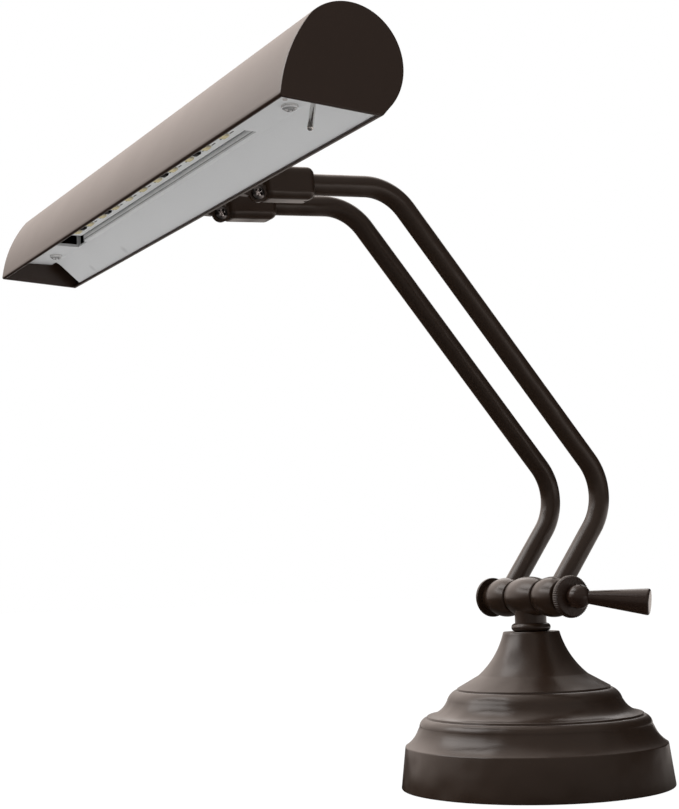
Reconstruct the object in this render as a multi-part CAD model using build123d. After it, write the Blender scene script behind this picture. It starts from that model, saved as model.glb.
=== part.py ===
from build123d import *
import math
import os

# Piano lamp with a stepped weighted base, a clamped double arm and a long
# hooded LED shade. Millimetres, +Z up. The origin is on the base's axis at
# the surface the lamp stands on. The clamp axis and the shade run along X,
# with the clamp lever at the +X end, and the shade reaches out towards -Y.

# Clearances
seat_gap = 0.05      # radial, between screwed or pressed pieces of one body
shaft_gap = 0.06     # radial, between a turning piece and its shaft
side_gap = 0.15      # between flat faces that turn past each other
flat_gap = 0.3       # between other faces of bodies that move

# Base: a spun bell of two coves and a flare, given as radius and height
pad_thick = 1.2
pad_stand = 0.3
pad_inset = 0.5
shell_wall = 1.5
band_bottom_r = 63.2
band_top_r = 60.8
band_top_z = 19.6
groove_low_r = 55.0
groove_low_z = 26.2
bead_low_r = 54.0
bead_low_z = 28.3
lip_low_r = 50.45
lip_low_z = 33.2
groove_high_r = 41.7
groove_high_z = 38.2
bead_high_r = 40.8
bead_high_z = 39.7
lip_high_r = 35.9
lip_high_z = 45.6
lip_face = 0.9
lip_tread = 0.75
flare_foot_r = 25.6
flare_foot_z = 51.2
rim_r = 12.9
rim_z = 71.2
cap_thick = 2.5
cove_low_bulge = 0.64
bead_low_bulge = 0.7
cove_high_bulge = 1.1
bead_high_bulge = 0.7
flare_bulge = 1.8
corner_round = 0.35

# Cast weight in the base, and the threaded tube that ties it to the neck
weight_gap = 0.5
weight_top_z = 16.0
weight_step_r = 46.0
weight_step_z = 26.0
recess_r = 17.0
recess_top_z = 21.5
channel_half = 5.5
nipple_r = 5.0
nipple_bore_r = 3.5
nipple_bottom_z = 15.0
nipple_top_z = 82.0
nut_flats = 17.0
nut_thick = 4.0
washer_r = 11.0
washer_thick = 1.5

# Cord inlet at the back of the base, and the lead inside
inlet_z = 6.6
inlet_r = 4.2
inlet_bore_r = 2.7
inlet_length = 7.0
inlet_flange_r = 5.4
inlet_flange_thick = 1.4
base_lead_r = 2.6
base_lead_bend = 9.0

# Neck and clamp
clamp_z = 87.14
neck_r = 7.4
bead_r = 9.2
bead_height = 3.9
barrel_half = 10.4
barrel_edge_r = 7.8
barrel_crown = 1.8
hub_gap = 1.0
hub_length = 15.0
hub_edge_r = 7.8
hub_crown = 1.5
edge_round = 0.8
bolt_r = 3.0
friction_washer_r = 6.8
friction_washer_thick = 0.8
disc_neck_r = 6.5
disc_neck_length = 3.55
disc_r = 9.43
disc_thick = 1.9
disc_dish = 0.6

# Clamp lever: knurled collar, ball and tapered handle
collar_neck_length = 4.2
collar_r = 9.6
collar_length = 3.35
collar_chamfer = 0.9
knurl_teeth = 60
knurl_depth = 0.3
ball_x = 38.0
ball_r = 5.5
handle_turn_deg = 43.3
handle_drop_deg = 5.7
handle_length = 31.7
handle_root_r = 3.05
handle_tip_r = 6.05
handle_tip_round = 0.9
spigot_r = 1.9
spigot_depth = 2.4
bolt_end_x = 36.5

# Arms: two bent tubes
arm_x = 19.295
tube_r = 4.7625
tube_wall = 1.2
bend_r = 25.4
knee_y = 35.51
knee_z = 134.93
shoulder_y = -80.77
shoulder_z = 272.06
head_droop_deg = 3.9
hub_socket_start = 4.6
arm_lead_r = 2.7

# Swivel block at the head of each arm, with a lug that takes the pivot screw
pivot_y = -149.1
pivot_z = 261.45
block_back_reach = 28.6
block_length = 24.8
block_width = 12.4
block_above = 6.9
block_below = 7.55
block_round = 3.2
block_top_corner = 3.4
block_bottom_corner = 3.6
socket_depth = 15.5
lug_r = 2.95
lug_inner = 3.2
lug_outer = 4.75
lug_root = 6.0
set_screw_r = 1.1
set_screw_sink = 0.5
set_screw_from_back = 2.9

# Shade: a long hood whose section is an arc that runs into a flatter front
shade_reach = 29.48
shade_rise = 9.95
shade_r = 20.74
shade_half = 162.56
shade_wall = 1.0
back_lip_deg = -55.2
back_lip_drop = 17.6
back_lip_out = 12.3
back_flange = 1.55
flank_start_deg = 133.6
flank_bulge = 2.5
front_lip_out = 26.9
front_lip_drop = 15.5
front_hem_thick = 2.0
front_hem_height = 4.5
end_cap_thick = 1.6
end_cap_spigot = 4.0
end_cap_rim = 1.2

# Reflector: a folded white sheet, with the light slot cut in its flat. Places
# along X are counted from the hood's ends, places along Y from its centre line
sheet_thick = 0.8
panel_drop = 6.4
fold_deg = 40.0
fold_shift = 1.02
slant_short = 8.1
slant_round = 2.5
slot_from_left = 46.26
slot_from_right = 67.76
slot_front_shift = 15.92
slot_back_shift = 3.52
slot_notch_length = 13.3
slot_notch_width = 1.9
tab_height = 6.2
tab_front = 1.0
tab_back = 3.1
tab_hole_rise = 0.6
tab_hole_height = 4.5
tab_post = 1.9
channel_height = 4.2
channel_wall = 1.0

# Light board
board_thick = 1.4
board_inset = 0.75
chip_count = 11
chip_end_left = 9.3
chip_end_right = 16.7
chip_length = 4.8
chip_width = 2.8
chip_thick = 0.7
part_after = (0, 2, 6, 8)
part_length = 4.4
part_width = 2.2
part_thick = 1.1

# Driver and its lead
driver_from_slot = 46.8
driver_length = 58.0
driver_width = 11.0
driver_height = 9.0
driver_round = 0.7
switch_lead_r = 1.6
switch_lead_rise = 3.2

# Screws, spacers, bridges and a small rivet that hold the reflector
screw_from_left = 25.1
screw_from_right = 34.1
screw_shift = 6.3
screw_r = 1.5
screw_head_r = 2.8
screw_head_thick = 1.8
screw_washer_r = 3.1
screw_washer_thick = 0.5
cross_width = 0.7
cross_depth = 0.8
cross_length = 3.4
cross_turn_deg = 25.0
spacer_r = 3.2
spacer_height = 2.5
bridge_width = 10.0
bridge_thick = 1.5
panel_rivet_from_right = 28.1
panel_rivet_shift = 11.1
panel_rivet_r = 0.6
panel_rivet_head_r = 0.9
panel_rivet_head_thick = 0.4

# Bracket that carries the shade on each swivel block
ear_r = 3.95
ear_neck_half = 2.4
ear_inner = 4.9
ear_outer = 6.3
foot_thick = 2.0
foot_half_deg = 13.0
boss_half = 2.9
boss_reach = 0.9
boss_bottom = 0.45
boss_top = 6.1
rivet_r = 1.5
rivet_head_r = 2.4
rivet_head_thick = 0.9
rivet_offset = 4.2
pivot_r = 1.6
pivot_head_r = 2.9
pivot_head_thick = 1.5

# Toggle switch, with a lever that widens to a domed tip
toggle_from_right = 16.56
toggle_shift = 4.9
toggle_rise = 1.1
toggle_tilt_deg = 9.8
toggle_length = 16.45
toggle_root_r = 0.9
toggle_tip_r = 1.15
toggle_root_start = 0.75
toggle_boss_r = 1.3
toggle_hole_r = 1.7
toggle_pin_r = 0.5
switch_length = 12.0
switch_width = 7.2
switch_height = 9.0
switch_wall = 1.5
switch_shift_y = -0.7

# Places worked out from the sizes above
hub_start = barrel_half + hub_gap
hub_end = hub_start + hub_length
collar_neck_x = hub_end + side_gap
collar_x = collar_neck_x + collar_neck_length
collar_end_x = collar_x + collar_length
hub_socket_end = 4 * tube_r
tube_bore_r = tube_r - tube_wall
block_back_y = pivot_y + block_back_reach
shade_y = pivot_y - shade_reach
shade_z = pivot_z + shade_rise
shell_half = shade_half - end_cap_thick
lip_z = shade_z - back_lip_drop
panel_z = shade_z - panel_drop
panel_top_z = panel_z + sheet_thick
panel_fold_y = shade_y - fold_shift
slot_low_x = slot_from_left - shade_half
slot_high_x = shade_half - slot_from_right
slot_front_y = shade_y - slot_front_shift
slot_back_y = shade_y - slot_back_shift
slot_mid_y = (slot_front_y + slot_back_y) / 2
channel_low_x = slot_low_x + slot_notch_length
channel_top_z = panel_top_z + channel_height
board_low_x = channel_low_x + board_inset
board_high_x = slot_high_x - board_inset
board_top_z = channel_top_z - channel_wall
board_z = board_top_z - board_thick
chip_first_x = channel_low_x + chip_end_left
chip_last_x = slot_high_x - chip_end_right
chip_pitch = (chip_last_x - chip_first_x) / (chip_count - 1)
driver_x = slot_high_x - driver_from_slot
screw_y = shade_y - screw_shift
screw_places = ((screw_from_left - shade_half, screw_y), (shade_half - screw_from_right, screw_y))
panel_rivet_x = shade_half - panel_rivet_from_right
panel_rivet_y = shade_y - panel_rivet_shift
bridge_z = panel_top_z + spacer_height
toggle_x = shade_half - toggle_from_right
toggle_y = shade_y - toggle_shift
toggle_z = panel_top_z + toggle_rise
bolt_hole_r = bolt_r + seat_gap
bolt_run_r = bolt_r + shaft_gap


def point(x, y, z):
    return Vector(x, y, z)


def rod(start, end, radius):
    """A round bar from one point to another."""
    way = end - start
    return Solid.make_cylinder(radius, way.length, Plane(origin=start, z_dir=way))


def taper(start, end, start_r, end_r):
    """A round bar whose radius changes evenly from start to end."""
    way = end - start
    return Solid.make_cone(start_r, end_r, way.length, Plane(origin=start, z_dir=way))


def block(low, high):
    """A box between two opposite corners."""
    size = high - low
    return Solid.make_box(size.X, size.Y, size.Z, Plane(origin=low))


def rod_x(low_x, high_x, y, z, radius):
    return rod(point(low_x, y, z), point(high_x, y, z), radius)


def rod_z(x, y, low_z, high_z, radius):
    return rod(point(x, y, low_z), point(x, y, high_z), radius)


def hex_bar(start, way, flats, length):
    """A hexagonal bar across the given flats."""
    outline = RegularPolygon(flats / 2, 6, major_radius=False)
    return extrude(Plane(origin=start, z_dir=way) * outline, length)


def round_corners(outline, places, radius):
    """Round the outline's corners that lie nearest to the given places."""
    corners = [outline.vertices().sort_by_distance(place)[0] for place in places]
    return fillet(corners, radius)


def spin_upright(outline):
    """Turn an outline of radius and height about the Z axis."""
    return revolve(Plane.XZ * outline, Axis.Z)


def spin_clamp(outline):
    """Turn an outline of X place and radius about the clamp axis."""
    return Pos(0, 0, clamp_z) * revolve(Plane.XZ * outline, Axis.X)


def stretch_x(outline, low_x, high_x):
    """Carry an outline drawn in Y and Z along X between two places."""
    return extrude(Plane.YZ.offset(low_x) * outline, high_x - low_x, dir=(1, 0, 0))


def save(shape, name):
    export_step(shape, f"parts/{name}.step")


# ---------------------------------------------------------------- base

def base_outline():
    """The bell's outer line from its foot up to the rim, and its inner line."""
    foot = (band_bottom_r, pad_stand)
    band_top = (band_top_r, band_top_z)
    groove_low = (groove_low_r, groove_low_z)
    bead_low = (bead_low_r, bead_low_z)
    tread_low = (lip_low_r + lip_tread, lip_low_z - lip_face)
    under_low = (lip_low_r, lip_low_z - lip_face)
    lip_low = (lip_low_r, lip_low_z)
    groove_high = (groove_high_r, groove_high_z)
    bead_high = (bead_high_r, bead_high_z)
    tread_high = (lip_high_r + lip_tread, lip_high_z - lip_face)
    under_high = (lip_high_r, lip_high_z - lip_face)
    lip_high = (lip_high_r, lip_high_z)
    flare_foot = (flare_foot_r, flare_foot_z)
    rim = (rim_r, rim_z)
    hole_r = nipple_r + seat_gap
    wall_corners = (rim, flare_foot, lip_high, groove_high, under_low, groove_low, band_top)
    inner = [(r - shell_wall, z - shell_wall) for r, z in wall_corners[1:]]
    top_inner_r = rim_r - shell_wall
    line = Line(foot, band_top)
    line += SagittaArc(band_top, groove_low, cove_low_bulge)
    line += Line(groove_low, bead_low)
    line += SagittaArc(bead_low, tread_low, -bead_low_bulge)
    line += Polyline(tread_low, under_low, lip_low)
    line += SagittaArc(lip_low, groove_high, cove_high_bulge)
    line += Line(groove_high, bead_high)
    line += SagittaArc(bead_high, tread_high, -bead_high_bulge)
    line += Polyline(tread_high, under_high, lip_high, flare_foot)
    line += SagittaArc(flare_foot, rim, flare_bulge)
    line += Polyline(
        rim, (hole_r, rim_z), (hole_r, rim_z - cap_thick), (top_inner_r, rim_z - cap_thick),
        *inner, (band_bottom_r - shell_wall, pad_stand), foot,
    )
    return round_corners(make_face(line), (rim, lip_high, lip_low, band_top, foot), corner_round)


def inlet_hole(radius):
    """A bar through the back of the band, along Y, for the inlet."""
    return rod(point(0, 0, inlet_z), point(0, band_bottom_r + inlet_length, inlet_z), radius)


def make_base():
    shell = spin_upright(base_outline())
    save(shell - inlet_hole(inlet_r + seat_gap), "base_shell")

    pad_r = band_bottom_r - shell_wall - pad_inset
    pad = rod_z(0, 0, 0, pad_thick, pad_r)
    save(pad, "base_pad")

    weight_r = min(band_bottom_r, band_top_r) - shell_wall - weight_gap
    weight = rod_z(0, 0, pad_thick, weight_top_z, weight_r)
    weight += rod_z(0, 0, weight_top_z, weight_step_z, weight_step_r)
    weight -= rod_z(0, 0, pad_thick, recess_top_z, recess_r)
    weight -= rod_z(0, 0, recess_top_z, weight_step_z, nipple_r + seat_gap)
    weight -= block(
        point(-channel_half, 0, pad_thick),
        point(channel_half, weight_r, inlet_z + channel_half),
    )
    save(weight, "base_weight")

    nipple = rod_z(0, 0, nipple_bottom_z, nipple_top_z, nipple_r)
    save(nipple - rod_z(0, 0, nipple_bottom_z, nipple_top_z, nipple_bore_r), "stem_nipple")

    washer = rod_z(0, 0, recess_top_z - washer_thick, recess_top_z, washer_r)
    washer -= rod_z(0, 0, recess_top_z - washer_thick, recess_top_z, nipple_r + seat_gap)
    save(washer, "nipple_washer")

    nut_z = recess_top_z - washer_thick - nut_thick
    nut = hex_bar(point(0, 0, nut_z), (0, 0, 1), nut_flats, nut_thick)
    save(nut - rod_z(0, 0, nut_z, nut_z + nut_thick, nipple_r + seat_gap), "nipple_nut")


def make_inlet():
    """A flanged bush in the band, pointing out of the back of the base."""
    face_y = math.sqrt(band_bottom_r ** 2 - inlet_flange_r ** 2)
    outer_y = face_y + inlet_flange_thick
    inner_y = outer_y - inlet_length
    bush = inlet_line(inner_y, outer_y, inlet_r)
    bush += inlet_line(face_y, outer_y, inlet_flange_r)
    bush -= spin_upright(base_outline()) - inlet_hole(inlet_r)
    bush -= inlet_line(inner_y, outer_y, inlet_bore_r)
    save(bush, "cord_bushing")

    route = FilletPolyline(
        point(0, inner_y - flat_gap, inlet_z),
        point(0, 0, inlet_z),
        point(0, 0, nipple_top_z),
        radius=base_lead_bend,
    )
    lead = sweep(Plane(origin=route @ 0, z_dir=route % 0) * Circle(base_lead_r), route)
    save(lead, "base_lead")


def inlet_line(low_y, high_y, radius):
    return rod(point(0, low_y, inlet_z), point(0, high_y, inlet_z), radius)


# ---------------------------------------------------------------- clamp

def crowned(low_x, high_x, edge_r, crown):
    """A drum about the clamp axis, fuller in the middle than at its ends."""
    line = Polyline((low_x, edge_r), (low_x, 0), (high_x, 0), (high_x, edge_r))
    line += SagittaArc((high_x, edge_r), (low_x, edge_r), -crown)
    ends = ((low_x, edge_r), (high_x, edge_r))
    return spin_clamp(round_corners(make_face(line), ends, edge_round))


def clamp_rod(low_x, high_x, radius):
    return rod_x(low_x, high_x, 0, clamp_z, radius)


def make_neck():
    bead_top_z = rim_z + bead_height
    line = Polyline((neck_r, rim_z), (0, rim_z), (0, bead_top_z), (neck_r, bead_top_z))
    line += SagittaArc((neck_r, bead_top_z), (neck_r, rim_z), bead_r - neck_r)
    bead = spin_upright(make_face(line))
    save(bead - rod_z(0, 0, rim_z, bead_top_z, nipple_r + seat_gap), "stem_bead")

    knuckle = crowned(-barrel_half, barrel_half, barrel_edge_r, barrel_crown)
    knuckle += rod_z(0, 0, bead_top_z, clamp_z, neck_r)
    knuckle -= rod_z(0, 0, bead_top_z, nipple_top_z, nipple_r + seat_gap)
    knuckle -= clamp_rod(-barrel_half, barrel_half, bolt_hole_r)
    save(knuckle, "knuckle")


def make_clamp():
    disc_neck_x = -hub_end - side_gap
    disc_x = disc_neck_x - disc_neck_length
    rim_x = disc_x - disc_thick
    disc_line = Polyline(
        (disc_neck_x, disc_neck_r), (disc_neck_x, 0), (rim_x, 0), (rim_x, disc_r),
        (disc_x, disc_r), (disc_x - disc_dish, disc_r - disc_thick),
        (disc_x - disc_dish, disc_neck_r), (disc_neck_x, disc_neck_r),
    )
    rim_corners = ((rim_x, disc_r), (disc_x, disc_r))
    disc = spin_clamp(round_corners(make_face(disc_line), rim_corners, disc_dish))
    save(disc - clamp_rod(rim_x, disc_neck_x, bolt_hole_r), "end_disc")

    save(clamp_rod(rim_x, bolt_end_x, bolt_r), "clamp_bolt")

    washer_mid = barrel_half + hub_gap / 2
    washers = []
    for side in (-1, 1):
        low_x = side * washer_mid - friction_washer_thick / 2
        high_x = low_x + friction_washer_thick
        ring = clamp_rod(low_x, high_x, friction_washer_r)
        washers.append(ring - clamp_rod(low_x, high_x, bolt_hole_r))
    save(Compound(washers), "friction_washers")


def knurled(low_x, high_x):
    """A collar with straight knurling, chamfered at both rims."""
    step = math.pi / knurl_teeth
    crests = [collar_r - knurl_depth * (i % 2) for i in range(2 * knurl_teeth)]
    ring = [(r * math.cos(i * step), r * math.sin(i * step)) for i, r in enumerate(crests)]
    teeth = Pos(0, 0, clamp_z) * stretch_x(make_face(Polyline(*ring, close=True)), low_x, high_x)
    front = collar_chamfer
    back = collar_chamfer / 2
    limit = Polyline(
        (low_x, 0), (high_x, 0), (high_x, collar_r - front), (high_x - front, collar_r),
        (low_x + back, collar_r), (low_x, collar_r - back), (low_x, 0),
    )
    return teeth & spin_clamp(make_face(limit))


def make_lever():
    collar = knurled(collar_x, collar_end_x)
    collar += clamp_rod(collar_neck_x, collar_x, disc_neck_r)
    save(collar - clamp_rod(collar_neck_x, collar_end_x, bolt_run_r), "knurled_collar")

    centre = point(ball_x, 0, clamp_z)
    turn = math.radians(handle_turn_deg)
    drop = math.radians(handle_drop_deg)
    way = point(math.cos(turn) * math.cos(drop), math.sin(turn) * math.cos(drop), -math.sin(drop))
    tip = centre + way * handle_length
    spigot_end = centre + way * (ball_r - spigot_depth)

    ball = Pos(centre) * Sphere(ball_r)
    ball -= clamp_rod(ball_x - 2 * ball_r, collar_end_x, collar_r)
    ball -= clamp_rod(collar_end_x, bolt_end_x + side_gap, bolt_run_r)
    ball -= rod(spigot_end, tip, spigot_r + seat_gap)
    save(ball, "lever_ball")

    root_at = math.sqrt(ball_r ** 2 - handle_root_r ** 2)
    handle_line = Polyline(
        (0, root_at), (handle_root_r, root_at), (handle_tip_r, handle_length),
        (0, handle_length), close=True,
    )
    tip_corner = ((handle_tip_r, handle_length),)
    handle = spin_upright(round_corners(make_face(handle_line), tip_corner, handle_tip_round))
    handle = Plane(origin=centre, z_dir=way).location * handle
    handle -= Pos(centre) * Sphere(ball_r + seat_gap)
    handle += rod(spigot_end + way * seat_gap, centre + way * (ball_r + spigot_r), spigot_r)
    save(handle, "lever_handle")


# ---------------------------------------------------------------- arms

def droop_way():
    droop = math.radians(head_droop_deg)
    return point(0, -math.cos(droop), -math.sin(droop))


def droop_up():
    way = droop_way()
    return point(0, way.Z, -way.Y)


def arm_point(side, y, z):
    return point(side * arm_x, y, z)


def arm_foot(side, distance):
    """A point of the arm's line, counted from the clamp axis."""
    rise = knee_z - clamp_z
    reach = math.hypot(knee_y, rise)
    return arm_point(side, knee_y * distance / reach, clamp_z + rise * distance / reach)


def line_height(y):
    """The height of the tube's line over a place on its drooping end."""
    return shoulder_z + (y - shoulder_y) * math.tan(math.radians(head_droop_deg))


def block_back(side):
    """The point where the tube's line enters the swivel block."""
    return arm_point(side, block_back_y, line_height(block_back_y))


def arm_bar(side, start, depth, radius):
    """A bar bent along the arm, from near the clamp into the block."""
    route = FilletPolyline(
        arm_foot(side, start),
        arm_point(side, knee_y, knee_z),
        arm_point(side, shoulder_y, shoulder_z),
        block_back(side) + droop_way() * depth,
        radius=bend_r,
    )
    return sweep(Plane(origin=route @ 0, z_dir=route % 0) * Circle(radius), route)


def make_arm(side, hand):
    low_x, high_x = sorted((side * hub_start, side * hub_end))
    hub = crowned(low_x, high_x, hub_edge_r, hub_crown)
    hub -= clamp_rod(low_x, high_x, bolt_run_r)
    socket = rod(arm_foot(side, hub_socket_start), arm_foot(side, hub_socket_end), tube_r + seat_gap)
    save(hub - socket, f"arm_hub_{hand}")

    foot = hub_socket_start + seat_gap
    tube = arm_bar(side, foot, socket_depth, tube_r)
    tube -= arm_bar(side, foot, socket_depth, tube_bore_r)
    save(tube, f"arm_tube_{hand}")


def make_arm_lead():
    """The flexible lead that runs through the right arm."""
    foot = hub_socket_start + seat_gap
    save(arm_bar(1, foot, socket_depth, arm_lead_r), "arm_lead")


def block_place(along, above):
    """Y and Z of a point given along the tube's end and above its line."""
    place = block_back(1) + droop_way() * along + droop_up() * above
    return (place.Y, place.Z)


def make_block(side, hand):
    """The block that holds the tube, with the pivot's lug on its outer side."""
    centre_x = side * arm_x
    low_x = centre_x - block_width / 2
    high_x = centre_x + block_width / 2
    back_top = block_place(0, block_above)
    back_bottom = block_place(0, -block_below)
    front_top = block_place(block_length, block_above)
    front_bottom = block_place(block_length, -block_below)
    outline = make_face(Polyline(back_top, back_bottom, front_bottom, front_top, close=True))
    outline = round_corners(outline, (back_top,), block_top_corner)
    outline = round_corners(outline, (back_bottom, front_bottom), block_bottom_corner)
    body = stretch_x(outline, low_x, high_x)
    sides = body.faces().sort_by(Axis.X)
    body = fillet(sides[0].edges() + sides[-1].edges(), block_round)

    pivot = (pivot_y, pivot_z)
    root_top = block_place(block_length - block_round, lug_root - block_below)
    root_bottom = block_place(block_length - block_round, -block_below + block_round)
    lug = make_face(make_hull([*Line(root_top, root_bottom).edges(), *(Pos(*pivot) * Circle(lug_r)).edges()]))
    body += stretch_x(lug, centre_x + lug_inner, centre_x + lug_outer)
    body -= rod_x(low_x, high_x, pivot_y, pivot_z, pivot_r + seat_gap)

    back = block_back(side)
    socket_end = back + droop_way() * (socket_depth + seat_gap)
    body -= rod(back - droop_way() * block_top_corner, socket_end, tube_r + seat_gap)
    bottom = back + droop_way() * set_screw_from_back - droop_up() * block_below
    body -= rod(bottom, bottom + droop_up() * block_below, set_screw_r + seat_gap)
    save(body, f"swivel_block_{hand}")


def make_set_screws():
    """The grub screws that hold the tubes in their blocks, sunk from below."""
    length = block_below - tube_r - set_screw_sink
    screws = []
    for side in (-1, 1):
        top = block_back(side) + droop_way() * set_screw_from_back - droop_up() * tube_r
        screws.append(rod(top - droop_up() * length, top, set_screw_r))
    save(Compound(screws), "block_set_screws")


# ---------------------------------------------------------------- shade

def shade_section(inset, drop=0.0):
    """The hood's section, closed across its mouth, drawn in from its outside.

    The mouth's closing line can be dropped, to cut right through the mouth.
    """
    radius = shade_r - inset
    start = math.radians(back_lip_deg)
    end = math.radians(flank_start_deg)
    middle = (start + end) / 2
    back_side = (radius * math.cos(start), radius * math.sin(start))
    crown = (radius * math.cos(middle), radius * math.sin(middle))
    shoulder = (radius * math.cos(end), radius * math.sin(end))
    front_lip = (inset - front_lip_out, -front_lip_drop)
    back_lip = (back_lip_out - inset, -back_lip_drop)
    front_foot = (front_lip[0], front_lip[1] - drop)
    back_foot = (back_lip[0], back_lip[1] - drop)
    line = Polyline(back_lip, back_side)
    line += ThreePointArc(back_side, crown, shoulder)
    line += SagittaArc(shoulder, front_lip, -flank_bulge)
    if drop:
        line += Polyline(front_lip, front_foot, back_foot, back_lip)
    else:
        line += Line(front_lip, back_lip)
    return Pos(shade_y, shade_z) * make_face(line)


def make_shell():
    shell = stretch_x(shade_section(0), -shell_half, shell_half)
    shell -= stretch_x(shade_section(shade_wall, shade_r), -shell_half, shell_half)
    shell += block(
        point(-shell_half, shade_y + back_lip_out - back_flange, lip_z),
        point(shell_half, shade_y + back_lip_out - shade_wall / 2, lip_z + shade_wall),
    )
    front_y, front_z = shade_y - front_lip_out, shade_z - front_lip_drop
    shell += block(
        point(-shell_half, front_y + shade_wall / 2, front_z),
        point(shell_half, front_y + front_hem_thick, front_z + front_hem_height),
    )
    for side in (-1, 1):
        for place in rivet_places(side):
            shell -= rivet_bar(place, 0, shade_r + foot_thick, rivet_r + seat_gap)
    save(shell, "shade_shell")


def make_end_caps():
    inner = shade_section(shade_wall + seat_gap)
    rim = inner - shade_section(shade_wall + seat_gap + end_cap_rim, shade_r)
    rim &= Pos(shade_y, bridge_z + shade_r) * Rectangle(4 * shade_r, 2 * shade_r)
    for side, hand in ((-1, "left"), (1, "right")):
        outer_x = side * shade_half
        seat_x = side * shell_half
        inner_x = side * (shell_half - end_cap_spigot)
        cap = stretch_x(shade_section(0), *sorted((outer_x, seat_x)))
        cap += stretch_x(rim, *sorted((seat_x, inner_x)))
        save(cap, f"end_cap_{hand}")


def make_reflector():
    """The folded sheet, whose slant stops short of the left end, with its slot and tab."""
    fold = math.radians(fold_deg)
    lip_top_z = lip_z + shade_wall
    back_y = panel_fold_y + (panel_z - lip_top_z) / math.tan(fold)
    outline = make_face(Polyline(
        (shade_y - 2 * shade_r, panel_z), (panel_fold_y, panel_z), (back_y, lip_top_z),
        (back_y + sheet_thick * math.sin(fold), lip_top_z + sheet_thick * math.cos(fold)),
        (panel_fold_y + sheet_thick * math.tan(fold / 2), panel_top_z),
        (shade_y - 2 * shade_r, panel_top_z), close=True,
    ))
    outline &= shade_section(shade_wall + seat_gap)
    sheet_half = shell_half - seat_gap
    slant_end_x = slant_short - sheet_half
    sheet = stretch_x(outline, -sheet_half, sheet_half)
    relief = make_face(Polyline(
        (slant_end_x, panel_fold_y), (-shade_half, panel_fold_y),
        (-shade_half, shade_y + shade_r), (slant_end_x, shade_y + shade_r), close=True,
    ))
    relief = round_corners(relief, ((slant_end_x, panel_fold_y),), slant_round)
    sheet -= extrude(Plane.XY.offset(lip_z) * relief, panel_top_z - lip_z)

    slot_front = point(slot_low_x, slot_front_y, panel_z)
    sheet -= block(slot_front, point(slot_high_x, slot_back_y, panel_top_z))
    sheet -= block(slot_front, point(channel_low_x, slot_back_y + slot_notch_width, panel_top_z))
    tab_low = point(slot_low_x - sheet_thick, slot_front_y - tab_front, panel_top_z)
    tab_high = point(slot_low_x, slot_back_y + tab_back, panel_top_z + tab_height)
    hole_low = tab_low + point(0, tab_post, tab_hole_rise)
    hole_high = point(slot_low_x, tab_high.Y - tab_post, hole_low.Z + tab_hole_height)
    sheet += block(tab_low, tab_high)
    sheet -= block(hole_low, hole_high)
    for x, y in screw_places:
        sheet -= rod_z(x, y, panel_z, panel_top_z, screw_r + seat_gap)
    sheet -= rod_z(panel_rivet_x, panel_rivet_y, panel_z, panel_top_z, panel_rivet_r + seat_gap)
    sheet -= rod_z(toggle_x, toggle_y, panel_z, panel_top_z, toggle_hole_r)
    save(sheet, "reflector")

    head_z = panel_z - panel_rivet_head_thick
    rivet = rod_z(panel_rivet_x, panel_rivet_y, panel_z, panel_top_z, panel_rivet_r)
    rivet += rod_z(panel_rivet_x, panel_rivet_y, head_z, panel_z, panel_rivet_head_r)
    save(rivet, "panel_rivet")


def make_channel():
    """The folded channel over the slot, and the lights under its roof."""
    channel = block(
        point(channel_low_x, slot_front_y - channel_wall, panel_top_z),
        point(slot_high_x + channel_wall, slot_back_y + channel_wall, channel_top_z),
    )
    channel -= block(
        point(channel_low_x, slot_front_y, panel_top_z), point(slot_high_x, slot_back_y, board_top_z),
    )
    save(channel, "led_channel")

    board = block(
        point(board_low_x, slot_front_y + board_inset, board_z),
        point(board_high_x, slot_back_y - board_inset, board_top_z),
    )
    save(board, "led_board")

    chips = []
    parts = []
    chip = point(chip_length, chip_width, 0) / 2
    part = point(part_length, part_width, 0) / 2
    for i in range(chip_count):
        under = point(chip_first_x + i * chip_pitch, slot_mid_y, board_z)
        chips.append(block(under - chip - point(0, 0, chip_thick), under + chip))
        if i in part_after:
            beside = under + point(chip_pitch / 2, 0, 0)
            parts.append(block(beside - part - point(0, 0, part_thick), beside + part))
    save(Compound(chips), "led_chips")
    save(Compound(parts), "board_parts")


def make_driver():
    low = point(driver_x - driver_length / 2, slot_mid_y - driver_width / 2, channel_top_z)
    driver = block(low, low + point(driver_length, driver_width, driver_height))
    driver = fillet(driver.edges().filter_by(Axis.Z), driver_round)
    save(driver, "led_driver")

    lead_z = channel_top_z + switch_lead_rise
    lead_low_x = driver_x + driver_length / 2
    lead_high_x = toggle_x - switch_length / 2
    save(rod_x(lead_low_x, lead_high_x, slot_mid_y, lead_z, switch_lead_r), "switch_lead")


def make_reflector_screws():
    top_z = bridge_z + bridge_thick
    washer_z = panel_z - screw_washer_thick
    head_z = washer_z - screw_head_thick
    section = shade_section(shade_wall + seat_gap)
    washers = []
    screws = []
    spacers = []
    bridges = []
    for x, y in screw_places:
        hole = rod_z(x, y, washer_z, top_z, screw_r + seat_gap)
        washers.append(rod_z(x, y, washer_z, panel_z, screw_washer_r) - hole)
        spacers.append(rod_z(x, y, panel_top_z, bridge_z, spacer_r) - hole)
        bar = stretch_x(section, x - bridge_width / 2, x + bridge_width / 2)
        bar &= block(
            point(x - bridge_width, shade_y - 2 * shade_r, bridge_z),
            point(x + bridge_width, shade_y + 2 * shade_r, top_z),
        )
        bridges.append(bar - hole)
        screw = rod_z(x, y, head_z, washer_z, screw_head_r)
        screw = fillet(screw.edges().sort_by(Axis.Z)[0], screw_head_thick / 2)
        screw -= cross_slot(point(x, y, head_z), point(0, 0, 1))
        screws.append(screw + rod_z(x, y, washer_z, top_z, screw_r))
    save(Compound(washers), "screw_washers")
    save(Compound(spacers), "screw_spacers")
    save(Compound(bridges), "reflector_bridges")
    save(Compound(screws), "reflector_screws")


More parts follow.
